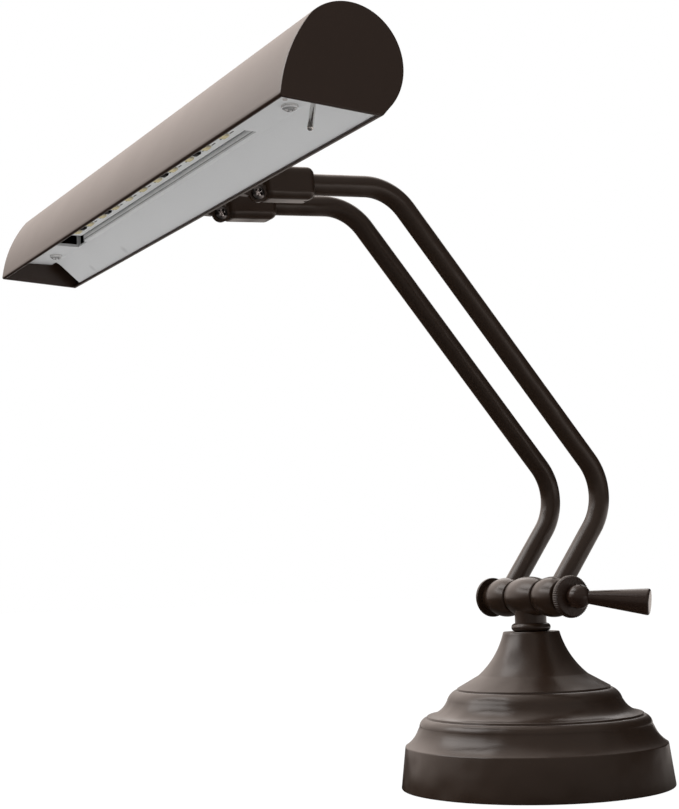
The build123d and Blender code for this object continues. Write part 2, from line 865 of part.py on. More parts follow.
def cross_slot(centre, way):
    """The cross recess of a screw head, cut in from its face."""
    bar = Box(cross_length, cross_width, cross_depth * 2)
    cross = bar + Rot(0, 0, 90) * bar
    return Plane(origin=centre, z_dir=way).location * Rot(0, 0, cross_turn_deg) * cross


# ---------------------------------------------------------------- shade bracket

def foot_way():
    """The direction from the hood's centre line to the pivot."""
    way = point(0, pivot_y - shade_y, pivot_z - shade_z)
    return way.normalized()


def rivet_places(side):
    return [side * arm_x - rivet_offset, side * arm_x + rivet_offset]


def rivet_bar(x, low_r, high_r, radius):
    centre = point(x, shade_y, shade_z)
    return rod(centre + foot_way() * low_r, centre + foot_way() * high_r, radius)


def make_bracket(side, hand):
    """A foot on the hood's back, a boss on it, and the ear that the pivot screw holds."""
    centre_x = side * arm_x
    way = foot_way()
    lean_deg = math.degrees(math.atan2(way.Z, way.Y))
    ring = Circle(shade_r + foot_thick) - Circle(shade_r)
    reach = shade_r + 2 * foot_thick
    edge = math.tan(math.radians(foot_half_deg)) * reach
    wedge = make_face(Polyline((0, 0), (reach, -edge), (reach, edge), close=True))
    foot = Pos(shade_y, shade_z) * Rot(0, 0, lean_deg) * (ring & wedge)
    bracket = stretch_x(foot, centre_x - ear_outer, centre_x + ear_outer)

    low = boss_bottom - shade_rise
    high = boss_top - shade_rise
    face = shade_reach - boss_reach
    boss = make_face(Polyline((0, low), (face, low), (face, high), (0, high), close=True))
    boss = Pos(shade_y, shade_z) * (boss - Circle(shade_r + foot_thick / 2))
    bracket += stretch_x(boss, centre_x - boss_half, centre_x + boss_half)

    neck = math.hypot(shade_reach, shade_rise) - shade_r - foot_thick / 2
    ear = Circle(ear_r) + Pos(-neck / 2, 0) * Rectangle(neck, 2 * ear_neck_half)
    ear = Pos(pivot_y, pivot_z) * Rot(0, 0, lean_deg) * ear
    bracket += stretch_x(ear, centre_x + ear_inner, centre_x + ear_outer)
    bracket -= rod_x(centre_x + ear_inner, centre_x + ear_outer, pivot_y, pivot_z, pivot_r + shaft_gap)
    for place in rivet_places(side):
        bracket -= rivet_bar(place, 0, shade_r + foot_thick / 2 + seat_gap, rivet_r + seat_gap)
    save(bracket, f"shade_bracket_{hand}")


def make_bracket_screws():
    screws = []
    rivets = []
    for side in (-1, 1):
        centre_x = side * arm_x
        head_x = centre_x + ear_outer + side_gap
        face_x = head_x + pivot_head_thick
        head = rod_x(head_x, face_x, pivot_y, pivot_z, pivot_head_r)
        head = fillet(head.edges().sort_by(Axis.X)[-1], pivot_head_thick / 2)
        head -= cross_slot(point(face_x, pivot_y, pivot_z), point(1, 0, 0))
        screws.append(head + rod_x(centre_x + lug_inner, head_x, pivot_y, pivot_z, pivot_r))
        for place in rivet_places(side):
            inner_r = math.sqrt((shade_r - shade_wall) ** 2 - rivet_head_r ** 2)
            rivet = rivet_bar(place, inner_r, shade_r + foot_thick / 2, rivet_r)
            rivets.append(rivet + rivet_bar(place, inner_r - rivet_head_thick, inner_r, rivet_head_r))
    save(Compound(screws), "pivot_screws")
    save(Compound(rivets), "bracket_rivets")


# ---------------------------------------------------------------- toggle switch

def make_toggle():
    """The switch body over the panel, its pin, and the domed lever below."""
    pivot = point(toggle_x, toggle_y, toggle_z)
    half_x = switch_length / 2
    half_y = switch_width / 2
    shift = point(0, switch_shift_y, 0)
    low = point(toggle_x - half_x, toggle_y - half_y, panel_top_z) + shift
    high = point(toggle_x + half_x, toggle_y + half_y, panel_top_z + switch_height) + shift
    hollow_low = point(toggle_x - half_x / 2, toggle_y - toggle_hole_r, panel_top_z)
    hollow_high = point(toggle_x + half_x / 2, toggle_y + toggle_hole_r, toggle_z + toggle_hole_r)
    case = block(low, high) - block(hollow_low, hollow_high)
    pin_low_x = toggle_x - half_x + switch_wall
    pin_high_x = toggle_x + half_x - switch_wall
    case -= rod_x(pin_low_x, pin_high_x, toggle_y, toggle_z, toggle_pin_r + seat_gap)
    save(case, "toggle_body")
    save(rod_x(pin_low_x, pin_high_x, toggle_y, toggle_z, toggle_pin_r), "toggle_pin")

    tilt = math.radians(toggle_tilt_deg)
    way = point(0, -math.sin(tilt), -math.cos(tilt))
    root = pivot + way * toggle_root_start
    tip = pivot + way * (toggle_length - toggle_tip_r)
    boss = rod_x(toggle_x - toggle_boss_r, toggle_x + toggle_boss_r, toggle_y, toggle_z, toggle_boss_r)
    lever = taper(root, tip, toggle_root_r, toggle_tip_r) + boss + Pos(tip) * Sphere(toggle_tip_r)
    lever -= rod_x(pin_low_x, pin_high_x, toggle_y, toggle_z, toggle_pin_r + shaft_gap)
    save(lever, "toggle_lever")


def make_all():
    os.makedirs("parts", exist_ok=True)
    make_base()
    make_inlet()
    make_neck()
    make_clamp()
    make_lever()
    make_arm_lead()
    make_set_screws()
    make_shell()
    make_end_caps()
    make_reflector()
    make_channel()
    make_driver()
    make_reflector_screws()
    make_bracket_screws()
    make_toggle()
    for side, hand in ((-1, "left"), (1, "right")):
        make_arm(side, hand)
        make_block(side, hand)
        make_bracket(side, hand)


make_all()
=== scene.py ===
import math

import bmesh
import bpy
import numpy as np
from mathutils import Matrix, Vector


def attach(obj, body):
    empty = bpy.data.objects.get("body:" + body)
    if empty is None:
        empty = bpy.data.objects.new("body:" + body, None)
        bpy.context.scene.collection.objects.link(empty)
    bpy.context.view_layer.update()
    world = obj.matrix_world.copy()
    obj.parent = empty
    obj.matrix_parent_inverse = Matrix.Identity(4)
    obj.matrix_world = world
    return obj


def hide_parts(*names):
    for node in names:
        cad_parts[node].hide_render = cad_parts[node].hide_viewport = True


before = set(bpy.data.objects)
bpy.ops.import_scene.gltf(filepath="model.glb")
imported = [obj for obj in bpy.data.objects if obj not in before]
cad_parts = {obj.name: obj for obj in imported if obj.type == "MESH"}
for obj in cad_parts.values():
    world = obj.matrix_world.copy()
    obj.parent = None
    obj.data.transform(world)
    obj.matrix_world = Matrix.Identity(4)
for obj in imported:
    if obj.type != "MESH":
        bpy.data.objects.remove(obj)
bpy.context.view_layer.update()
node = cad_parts
MM = 0.001


# ------------------------------------------------------------ camera
# A plain camera in front of the lamp and to its right, a little above the
# table, with no depth of field and no shift.
camera_place = np.array([600.237, -423.495, 96.757]) * MM
camera_turn = 1.0750
camera_rise = -0.1150
camera_roll = -0.0290
camera_lens = 68.34

back = np.array([
    math.sin(camera_turn) * math.cos(camera_rise),
    -math.cos(camera_turn) * math.cos(camera_rise),
    math.sin(camera_rise),
])
level = np.array([math.cos(camera_turn), math.sin(camera_turn), 0.0])
upward = np.cross(back, level)
right = math.cos(camera_roll) * level + math.sin(camera_roll) * upward
above = math.cos(camera_roll) * upward - math.sin(camera_roll) * level
camera_axes = np.eye(4)
camera_axes[:3, 0] = right
camera_axes[:3, 1] = above
camera_axes[:3, 2] = back
camera_axes[:3, 3] = camera_place

camera = bpy.data.objects.new("camera", bpy.data.cameras.new("camera"))
camera.data.sensor_width = 36.0
camera.data.lens = camera_lens
camera.data.clip_start = 0.01
camera.data.clip_end = 20.0
camera.matrix_world = Matrix(camera_axes.tolist())
bpy.context.scene.collection.objects.link(camera)
bpy.context.scene.camera = camera


# ------------------------------------------------------------ paint
# The lamp's metal is sprayed and baked in a dark oil-rubbed bronze. The coat
# has a satin gloss, a fine orange peel and faint cloudy drifts in its tone.
def new_material(name):
    """An empty node material with its output, ready for a shader."""
    made = bpy.data.materials.new(name)
    made.use_nodes = True
    made.node_tree.nodes.clear()
    return made, made.node_tree.nodes, made.node_tree.links


def reckon(n, links, operation, *terms):
    """A math node over its terms, each a socket or a plain number."""
    made = n.new("ShaderNodeMath")
    made.operation = operation
    for k, term in enumerate(terms):
        if isinstance(term, (int, float)):
            made.inputs[k].default_value = term
        else:
            links.new(term, made.inputs[k])
    return made.outputs[0]


def build_drift_group():
    """Slow cloudy noise and fine grain on Object coordinates.

    Colour is the base colour times 1 plus the cloud and grain amounts times
    their centred noise; Rough is the roughness moved by the same cloud.
    """
    group = bpy.data.node_groups.new("finish_drift", "ShaderNodeTree")
    for name, kind, value in (
        ("Base", "NodeSocketColor", (0.5, 0.5, 0.5, 1.0)), ("Cloud Size", "NodeSocketFloat", 40.0),
        ("Cloud Amount", "NodeSocketFloat", 0.1), ("Grain Size", "NodeSocketFloat", 900.0),
        ("Grain Amount", "NodeSocketFloat", 0.05), ("Rough Middle", "NodeSocketFloat", 0.4),
        ("Rough Drift", "NodeSocketFloat", 0.05),
    ):
        socket = group.interface.new_socket(name, in_out="INPUT", socket_type=kind)
        socket.default_value = value
    for name, kind in (
        ("Color", "NodeSocketColor"), ("Rough", "NodeSocketFloat"), ("Grain", "NodeSocketFloat"),
    ):
        group.interface.new_socket(name, in_out="OUTPUT", socket_type=kind)
    n, links = group.nodes, group.links
    given = n.new("NodeGroupInput")
    out = n.new("NodeGroupOutput")
    place = n.new("ShaderNodeTexCoord")

    def noise(size, detail):
        """Noise at a size that the group is given."""
        made = n.new("ShaderNodeTexNoise")
        made.inputs["Detail"].default_value = detail
        links.new(place.outputs["Object"], made.inputs["Vector"])
        links.new(given.outputs[size], made.inputs["Scale"])
        return made.outputs["Fac"]

    def centred(source, amount):
        """Noise about zero, times an amount that the group is given."""
        return reckon(n, links, "MULTIPLY", reckon(n, links, "SUBTRACT", source, 0.5), given.outputs[amount])

    cloud, grain = noise("Cloud Size", 3.0), noise("Grain Size", 2.0)
    total = reckon(n, links, "ADD", centred(cloud, "Cloud Amount"), centred(grain, "Grain Amount"))
    tint = n.new("ShaderNodeVectorMath")
    tint.operation = "SCALE"
    links.new(given.outputs["Base"], tint.inputs[0])
    links.new(reckon(n, links, "ADD", total, 1.0), tint.inputs["Scale"])
    links.new(tint.outputs[0], out.inputs["Color"])
    rough = reckon(n, links, "ADD", given.outputs["Rough Middle"], centred(cloud, "Rough Drift"))
    links.new(rough, out.inputs["Rough"])
    links.new(grain, out.inputs["Grain"])
    return group


finish_drift = build_drift_group()


def coated(name, colour, rough, metallic=0.0, cloud=(40.0, 0.12), grain=(900.0, 0.06),
           rough_drift=0.06, bump=(0.05, 0.0001), specular=0.5, swell=None):
    """A coat whose tone and gloss drift a little, over a fine bump and a slow swell."""
    made, n, links = new_material(name)
    out = n.new("ShaderNodeOutputMaterial")
    skin = n.new("ShaderNodeBsdfPrincipled")
    skin.inputs["Metallic"].default_value = metallic
    skin.inputs["Specular IOR Level"].default_value = specular
    drift = n.new("ShaderNodeGroup")
    drift.node_tree = finish_drift
    drift.inputs["Base"].default_value = (*colour, 1.0)
    drift.inputs["Cloud Size"].default_value, drift.inputs["Cloud Amount"].default_value = cloud
    drift.inputs["Grain Size"].default_value, drift.inputs["Grain Amount"].default_value = grain
    drift.inputs["Rough Middle"].default_value = rough
    drift.inputs["Rough Drift"].default_value = rough_drift
    relief = n.new("ShaderNodeBump")
    relief.inputs["Strength"].default_value, relief.inputs["Distance"].default_value = bump
    links.new(drift.outputs["Grain"], relief.inputs["Height"])
    links.new(drift.outputs["Color"], skin.inputs["Base Color"])
    links.new(drift.outputs["Rough"], skin.inputs["Roughness"])
    links.new(relief.outputs["Normal"], skin.inputs["Normal"])
    if swell:
        place = n.new("ShaderNodeTexCoord")
        wave = n.new("ShaderNodeTexNoise")
        wave.inputs["Scale"].default_value = swell[0]
        wave.inputs["Detail"].default_value = 1.0
        links.new(place.outputs["Object"], wave.inputs["Vector"])
        slow = n.new("ShaderNodeBump")
        slow.inputs["Strength"].default_value = 1.0
        slow.inputs["Distance"].default_value = swell[1]
        links.new(wave.outputs["Fac"], slow.inputs["Height"])
        links.new(slow.outputs["Normal"], relief.inputs["Normal"])
    links.new(skin.outputs["BSDF"], out.inputs["Surface"])
    return made


bronze_paint = coated("bronze_paint", (0.0300, 0.0160, 0.0090), 0.30, swell=(55.0, 0.0012))


# ------------------------------------------------------------ base shell
# The base is a steel bell spun in one piece: a low band, two coves with a
# bead and a lip each, and a flare that rises to the rim under the neck.
def bend(start, end, bulge, steps=24):
    """Points of an arc between two points, bulging left of the way by its sagitta."""
    p, q = np.array(start, float), np.array(end, float)
    half = np.linalg.norm(q - p) / 2
    if abs(bulge) < 1e-9:
        return np.array([p, q])
    radius = (half ** 2 + bulge ** 2) / (2 * abs(bulge))
    way = (q - p) / (2 * half)
    left = np.array([-way[1], way[0]]) * math.copysign(1.0, bulge)
    centre = (p + q) / 2 - left * (radius - abs(bulge))
    half_turn = math.asin(min(half / radius, 1.0))
    t = np.linspace(-half_turn, half_turn, steps + 1)[:, None]
    return centre + radius * (np.cos(t) * left + np.sin(t) * way)


def eased(corners, radii, steps=5):
    """An outline's points with each corner rounded by its own radius.

    A corner's arc is drawn as a quadratic curve between two points that lie
    the radius, or 45% of the shorter side, back along its sides.
    """
    p = np.array(corners, float)
    r = np.broadcast_to(np.array(radii, float), (len(p),))
    out = []
    for k, corner in enumerate(p):
        before, after = p[k - 1] - corner, p[(k + 1) % len(p)] - corner
        reach = min(r[k], 0.45 * np.linalg.norm(before), 0.45 * np.linalg.norm(after))
        if reach < 1e-6:
            out.append(corner[None])
            continue
        a = corner + before / np.linalg.norm(before) * reach
        b = corner + after / np.linalg.norm(after) * reach
        t = np.linspace(0, 1, steps + 1)[:, None]
        out.append((1 - t) ** 2 * a + 2 * t * (1 - t) * corner + t ** 2 * b)
    return np.concatenate(out)


def grid_faces(rows, columns, row_loop, column_loop):
    """Quads of a grid of points, closed round in either direction when asked."""
    i = np.arange(rows if row_loop else rows - 1)[:, None]
    j = np.arange(columns if column_loop else columns - 1)[None, :]
    i_next, j_next = (i + 1) % rows, (j + 1) % columns
    quads = np.stack([
        i * columns + j, i * columns + j_next, i_next * columns + j_next, i_next * columns + j,
    ], axis=-1)
    return quads.reshape(-1, 4)


def finish_mesh(name, points, faces, body, stands_for, material, slot, sharp=38.0):
    """A smooth piece from points in millimetres, with its edges sharp past an angle."""
    mesh = bpy.data.meshes.new(name)
    mesh.from_pydata((np.asarray(points) * MM).tolist(), [], [list(map(int, f)) for f in faces])
    merged = bmesh.new()
    merged.from_mesh(mesh)
    bmesh.ops.remove_doubles(merged, verts=merged.verts, dist=1e-7)
    bmesh.ops.recalc_face_normals(merged, faces=merged.faces)
    merged.to_mesh(mesh)
    merged.free()
    piece = bpy.data.objects.new(name, mesh)
    bpy.context.scene.collection.objects.link(piece)
    mesh.shade_smooth()
    mesh.set_sharp_from_angle(angle=math.radians(sharp))
    mesh.materials.append(material)
    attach(piece, body)
    if stands_for:
        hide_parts(*stands_for)
    return piece


def turned_points(outline, centre, axis, side, steps=160):
    """A closed outline of radius and place carried round an axis.

    Point (r, s) at angle t goes to centre + s * axis + r * (side cos t + (axis x side) sin t).
    """
    axis, side = np.array(axis, float), np.array(side, float)
    other = np.cross(axis, side)
    t = np.linspace(0, 2 * math.pi, steps, endpoint=False)
    ring = np.cos(t)[:, None] * side + np.sin(t)[:, None] * other
    r, s = outline[:, 0], outline[:, 1]
    points = np.array(centre, float) + s[None, :, None] * axis + r[None, :, None] * ring[:, None, :]
    return points.reshape(-1, 3), grid_faces(steps, len(outline), True, True)


UP, ACROSS = (0, 0, 1), (1, 0, 0)
foot, band_top = (63.2, 0.3), (60.8, 19.6)
groove_low, bead_low = (55.0, 26.2), (54.0, 28.3)
tread_low, under_low = (51.2, 32.3), (50.45, 32.3)
groove_high, bead_high = (41.7, 38.2), (40.8, 39.7)
tread_high, under_high = (36.65, 44.7), (35.9, 44.7)
flare_foot, rim = (25.6, 51.2), (12.9, 71.2)
shell_outline = np.concatenate([
    eased([(61.7, 0.3), foot, band_top], (0, 0.6, 0))[:7],
    [(60.85, 19.2), (60.72, 19.6)],
    bend((60.5, 19.75), groove_low, 0.64),
    bend(bead_low, tread_low, -0.7, 10),
    [under_low, (50.2, 33.1)],
    bend((49.9, 33.3), groove_high, 1.1),
    bend(bead_high, tread_high, -0.7, 10),
    [under_high, (35.7, 45.5), (35.4, 45.7)],
    bend(flare_foot, (13.2, 70.9), 1.8),
    [rim, (5.05, 71.2), (5.05, 68.7), (11.4, 68.7), (24.1, 49.7), (34.4, 44.1), (40.2, 36.7)],
    [(48.95, 31.7), (53.5, 24.7), (59.3, 18.1), (61.7, 0.3)],
])
points, faces = turned_points(shell_outline, (0, 0, 0), UP, ACROSS, 256)
finish_mesh("lamp_base", points, faces, "base", ["base_shell"], bronze_paint, "bronze_paint")


# ------------------------------------------------------------ foot pad and weight
# A disc of black pressed felt under the base, and the cast weight that keeps
# the lamp upright, with the steel tube, nut and washer that tie it in.
def dressed(names, material):
    """Give CAD nodes a finish in their own material slots."""
    for name in names:
        node[name].data.materials.clear()
        node[name].data.materials.append(material)


felt = coated("felt", (0.022, 0.021, 0.020), 0.95, cloud=(60.0, 0.3), grain=(2600.0, 0.7), bump=(0.6, 0.0004))
cast_iron = coated("cast_iron", (0.09, 0.088, 0.085), 0.7, 0.6, (90.0, 0.3), (700.0, 0.4), 0.1, (0.5, 0.0006))
zinc_steel = coated(
    "zinc_steel", (0.50, 0.50, 0.48), 0.36, 1.0, (120.0, 0.15), (900.0, 0.12), 0.12, (0.1, 0.0001))
black_plastic = coated("black_plastic", (0.018, 0.018, 0.019), 0.5, grain=(1800.0, 0.1), bump=(0.15, 0.0001))
lead_sheath = coated("lead_sheath", (0.02, 0.02, 0.02), 0.6, grain=(1500.0, 0.1), bump=(0.1, 0.0001))
nylon = coated("nylon", (0.03, 0.029, 0.028), 0.45, grain=(1500.0, 0.08))
dressed(["base_pad"], felt)
dressed(["base_weight"], cast_iron)
dressed(["stem_nipple", "nipple_nut", "nipple_washer", "clamp_bolt"], zinc_steel)
dressed(["cord_bushing"], black_plastic)
dressed(["base_lead", "arm_lead", "switch_lead"], lead_sheath)
dressed(["friction_washers"], nylon)


# ------------------------------------------------------------ neck and clamp
# A bead ring seats the neck on the base. The neck and the centre drum are one
# casting, and a spun disc closes the far end of the clamp bolt.
clamp_z = 87.14
clamp_centre = (0, 0, clamp_z)
neck_r, neck_bore, neck_foot_z = 7.4, 5.05, 75.1
bead_outline = np.concatenate([
    [(neck_bore, 71.2), (7.2, 71.2)],
    bend((neck_r, 71.25), (neck_r, 75.05), -1.8, 20),
    [(7.2, neck_foot_z), (neck_bore, neck_foot_z)],
])
points, faces = turned_points(bead_outline, (0, 0, 0), UP, ACROSS, 128)
finish_mesh("neck_bead", points, faces, "base", ["stem_bead"], bronze_paint, "bronze_paint")


def drum_outline(low, high, edge, crown, bore, soft=0.8):
    """A drum's half section: flat ends, eased rims, and a crowned face between them."""
    ease = np.linspace(0, 1, 6)[:, None]
    lift = 0.15
    first = (1 - ease) ** 2 * (edge - soft, low) + 2 * ease * (1 - ease) * (edge, low)
    first = first + ease ** 2 * (edge + lift, low + soft)
    last = first[::-1] * (1, -1) + (0, low + high)
    face = bend(first[-1], last[0], lift - crown, 24)
    return np.concatenate([[(bore, low)], first, face[1:-1], last, [(bore, high)]])


def joined(*shells):
    """Several closed shells as one mesh."""
    places, quads, start = [], [], 0
    for shell_points, shell_faces in shells:
        places.append(shell_points)
        quads += [[int(v) + start for v in face] for face in shell_faces]
        start += len(shell_points)
    return np.concatenate(places), quads


drum_edge_r, barrel_half, barrel_crown, bolt_hole_r = 7.8, 10.4, 1.8, 3.05
barrel_outline = drum_outline(-barrel_half, barrel_half, drum_edge_r, barrel_crown, bolt_hole_r)
barrel = turned_points(barrel_outline, clamp_centre, ACROSS, UP, 144)
neck_outline = np.array([
    (neck_bore, neck_foot_z), (neck_r, neck_foot_z), (neck_r, clamp_z), (neck_bore, clamp_z),
])
neck = turned_points(neck_outline, (0, 0, 0), UP, ACROSS, 144)
finish_mesh("centre_casting", *joined(barrel, neck), "base", ["knuckle"], bronze_paint, "bronze_paint")

disc_r, disc_inner_x, disc_outer_x = 9.43, -26.55, -32.0
disc_corners = [
    (bolt_hole_r, disc_inner_x), (6.5, disc_inner_x), (6.5, -30.7), (7.53, -30.7),
    (disc_r, -30.1), (disc_r, disc_outer_x), (bolt_hole_r, disc_outer_x),
]
disc_outline = eased(disc_corners, (0, 0.4, 0, 0, 0.55, 0.55, 0), 6)
points, faces = turned_points(disc_outline, clamp_centre, ACROSS, UP, 144)
finish_mesh("clamp_end_disc", points, faces, "base", ["end_disc"], bronze_paint, "bronze_paint")


# ------------------------------------------------------------ arms
# Two steel tubes bent alike, each brazed into a crowned hub at its foot and
# held by a grub screw in a block at its head, all in the lamp's bronze coat.
hub_near_x, hub_far_x, hub_crown, hub_bore_r = 11.4, 26.4, 1.5, 3.06
for side, hand in ((-1, "left"), (1, "right")):
    low, high = sorted((side * hub_near_x, side * hub_far_x))
    hub_outline = drum_outline(low, high, drum_edge_r, hub_crown, hub_bore_r)
    hub = turned_points(hub_outline, clamp_centre, ACROSS, UP, 144)
    finish_mesh(f"hub_{hand}", *hub, "arms", [f"arm_hub_{hand}"], bronze_paint, "bronze_paint")

tube_r, tube_bore = 4.7625, 3.5625
arm_x, arm_bend = 19.295, 25.4
knee, shoulder = np.array([35.51, 134.93]), np.array([-80.77, 272.06])
droop = math.radians(3.9)
head = np.array([-math.cos(droop), -math.sin(droop)])
block_back_y, socket_depth, foot_reach = -120.5, 15.5, 4.65
socket_mouth = np.array([block_back_y, shoulder[1] + (block_back_y - shoulder[0]) * math.tan(droop)])
socket_end = socket_mouth + socket_depth * head
shin = knee - np.array([0.0, clamp_z])
arm_foot = np.array([0.0, clamp_z]) + foot_reach * shin / np.linalg.norm(shin)


def bent_line(corners, radius, steps=28):
    """A line whose corners are arcs: the centre lies radius off both sides, on the bisector."""
    out = [corners[0][None]]
    for a, b, c in zip(corners, corners[1:], corners[2:]):
        u, v = (a - b) / np.linalg.norm(a - b), (c - b) / np.linalg.norm(c - b)
        half = math.acos(np.clip(u @ v, -1, 1)) / 2
        middle = (u + v) / np.linalg.norm(u + v)
        centre = b + middle * radius / math.sin(half)
        start, end = b + u * radius / math.tan(half) - centre, b + v * radius / math.tan(half) - centre
        turn = math.pi - 2 * half
        t = np.linspace(0, 1, steps + 1)[:, None]
        out.append(centre + (np.sin((1 - t) * turn) * start + np.sin(t * turn) * end) / math.sin(turn))
    out.append(corners[-1][None])
    return np.concatenate(out)


def swept_tube(line, x, outer, bore, around=64):
    """A tube along a line in the YZ plane: rings of points at right angles to it."""
    way = np.gradient(line, axis=0)
    way /= np.linalg.norm(way, axis=1)[:, None]
    normal = np.stack([-way[:, 1], way[:, 0]], axis=1)
    t = np.linspace(0, 2 * math.pi, around, endpoint=False)
    shells = []
    for radius in (outer, bore):
        yz = line[:, None, :] + radius * np.sin(t)[None, :, None] * normal[:, None, :]
        xs = np.broadcast_to(x + radius * np.cos(t), yz.shape[:2])
        shells.append(np.concatenate([xs[..., None], yz], axis=2))
    rings = np.concatenate([shells[0], shells[1][::-1]])
    return rings.reshape(-1, 3), grid_faces(len(rings), around, True, True)


arm_line = bent_line([arm_foot, knee, shoulder, socket_end], arm_bend)
for side, hand in ((-1, "left"), (1, "right")):
    tube = swept_tube(arm_line, side * arm_x, tube_r, tube_bore)
    finish_mesh(f"arm_{hand}", *tube, "arms", [f"arm_tube_{hand}"], bronze_paint, "bronze_paint")

black_steel = coated("black_steel", (0.02, 0.019, 0.018), 0.4, 0.3, grain=(1500.0, 0.15))
dressed(["swivel_block_left", "swivel_block_right"], bronze_paint)
dressed(["shade_bracket_left", "shade_bracket_right"], bronze_paint)
dressed(["block_set_screws"], black_steel)


# ------------------------------------------------------------ clamp lever
# The hand lever screws up on the clamp bolt: a straight-knurled collar, a
# ball, and a tapered grip, turned and then plated and coated with the lamp.
lever_bronze = coated("lever_bronze", (0.0250, 0.0125, 0.0078), 0.24)
collar_low, collar_neck, collar_high = 26.55, 30.75, 34.1
collar_r, collar_neck_r = 9.6, 6.5
teeth, groove_depth = 60, 0.3
collar_rows = np.array([
    (hub_bore_r, collar_low, 0), (6.3, collar_low, 0), (collar_neck_r, collar_low + 0.2, 0),
    (collar_neck_r, collar_neck, 0), (9.15, collar_neck, 0), (collar_r, collar_neck + 0.45, 1),
    (collar_r, collar_high - 0.9, 1), (8.7, collar_high, 0.6), (hub_bore_r, collar_high, 0),
])
angle = np.linspace(0, 2 * math.pi, teeth * 6, endpoint=False)
groove = -groove_depth * np.abs(np.sin(angle * teeth / 2)) ** 0.7
radius = collar_rows[:, 0][None, :] + groove[:, None] * collar_rows[:, 2][None, :]
points = np.stack([
    np.broadcast_to(collar_rows[:, 1], radius.shape), -radius * np.sin(angle)[:, None],
    clamp_z + radius * np.cos(angle)[:, None],
], axis=2).reshape(-1, 3)
faces = grid_faces(len(angle), len(collar_rows), True, True)
finish_mesh(
    "lever_collar", points, faces, "clamp_lever", ["knurled_collar"], lever_bronze, "lever_bronze", 50.0)

ball_centre, ball_r = np.array([38.0, 0.0, clamp_z]), 5.5
ball_turn = np.linspace(math.radians(134), 0.0, 40)
ball_outline = np.stack([ball_r * np.sin(ball_turn), ball_r * np.cos(ball_turn)], axis=1)
ball_outline[-1, 0] = 0.0
ball_outline = np.concatenate([[(0.0, ball_outline[0, 1])], ball_outline])
points, faces = turned_points(ball_outline, ball_centre, ACROSS, UP, 96)
finish_mesh(
    "lever_ball_joint", points, faces, "clamp_lever", ["lever_ball"], lever_bronze, "lever_bronze")

turn, drop = math.radians(43.3), math.radians(5.7)
grip_way = np.array([math.cos(turn) * math.cos(drop), math.sin(turn) * math.cos(drop), -math.sin(drop)])
grip_side = np.array([-math.sin(turn), math.cos(turn), 0.0])
grip_start, grip_end, grip_root_r, grip_tip_r = 4.2, 31.7, 3.0, 6.05
grip_corners = [(0.0, grip_start), (grip_root_r, grip_start), (grip_tip_r, grip_end), (0.0, grip_end)]
grip_outline = eased(grip_corners, (0, 0, 1.3, 0), 10)
grip_outline = np.concatenate([grip_outline[:1], [(2.4, grip_start), (2.97, 4.4)], grip_outline[2:]])
points, faces = turned_points(grip_outline, ball_centre, grip_way, grip_side, 128)
finish_mesh(
    "lever_grip", points, faces, "clamp_lever", ["lever_handle"], lever_bronze, "lever_bronze")


# ------------------------------------------------------------ hood
# The shade is one sheet rolled round at the back and left flatter down its
# front, with a lip folded in along the mouth's back edge and a hem along its
# front edge. A pressed plate with a rim inside the sheet closes each end.
shade_bronze = coated("shade_bronze", (0.0310, 0.0155, 0.0090), 0.36)
shade_y, shade_z = -178.58, 271.40
shade_r, shade_half, cap_thick = 20.74, 162.56, 1.6
shell_half = shade_half - cap_thick


def hood_line(inset):
    """The hood's open section from its back lip over the top to its front lip."""
    radius = shade_r - inset
    angles = np.radians(np.linspace(-55.2, 133.6, 97))
    arc = radius * np.stack([np.cos(angles), np.sin(angles)], axis=1)
    flank = bend(arc[-1], (inset - 26.9, -15.5), -2.5, 30)
    start = np.array([(12.3 - inset, -17.6)])
    return np.concatenate([start, start + (arc[0] - start) * 0.5, arc, flank[1:]]) + (shade_y, shade_z)


def capped_faces(rings, count):
    """Faces of a stack of closed rings, with the first and last ring filled."""
    faces = grid_faces(rings, count, False, True).tolist()
    return faces + [list(range(count)), list(range((rings - 1) * count, rings * count))]


def stretched(outline, stations):
    """A closed outline of Y and Z carried along X, with its two ends filled."""
    xs = np.array(stations, float)
    points = np.empty((len(xs), len(outline), 3))
    points[..., 0] = xs[:, None]
    points[..., 1:] = outline
    return points.reshape(-1, 3), capped_faces(len(xs), len(outline))


outer, inner = hood_line(0.0), hood_line(1.0)
lip_turn = np.radians(np.linspace(0, 62, 6))
back_edge = outer[0] + (-0.35, 0.35) + 0.35 * np.stack([np.sin(lip_turn), -np.cos(lip_turn)], axis=1)
hem_turn = np.radians(np.linspace(186, 358, 15))
front_hem = np.array([-25.9, -14.5]) + np.stack([np.cos(hem_turn), np.sin(hem_turn)], axis=1)
hem_top = [(-24.9, -11.4), (-25.1, -11.05), (-25.4, -10.95)]
front_hem = np.concatenate([front_hem, hem_top]) + (shade_y, shade_z)
flange = np.array([(11.3, -16.6), (10.87, -16.6), (10.75, -16.72), (10.75, -17.4), (10.95, -17.6)])
flange = flange + (shade_y, shade_z)
sheet_low_z = shade_z - 14.35
outer_sheet = outer[2:][outer[2:, 1] > sheet_low_z]
hood_outline = np.concatenate([
    back_edge, outer_sheet, front_hem,
    inner[::-1][inner[::-1][:, 1] > shade_z - 10.9][:-1], flange,
])
points, faces = stretched(hood_outline, np.linspace(-shell_half, shell_half, 5))
finish_mesh("hood", points, faces, "shade", ["shade_shell"], shade_bronze, "shade_bronze", 30.0)

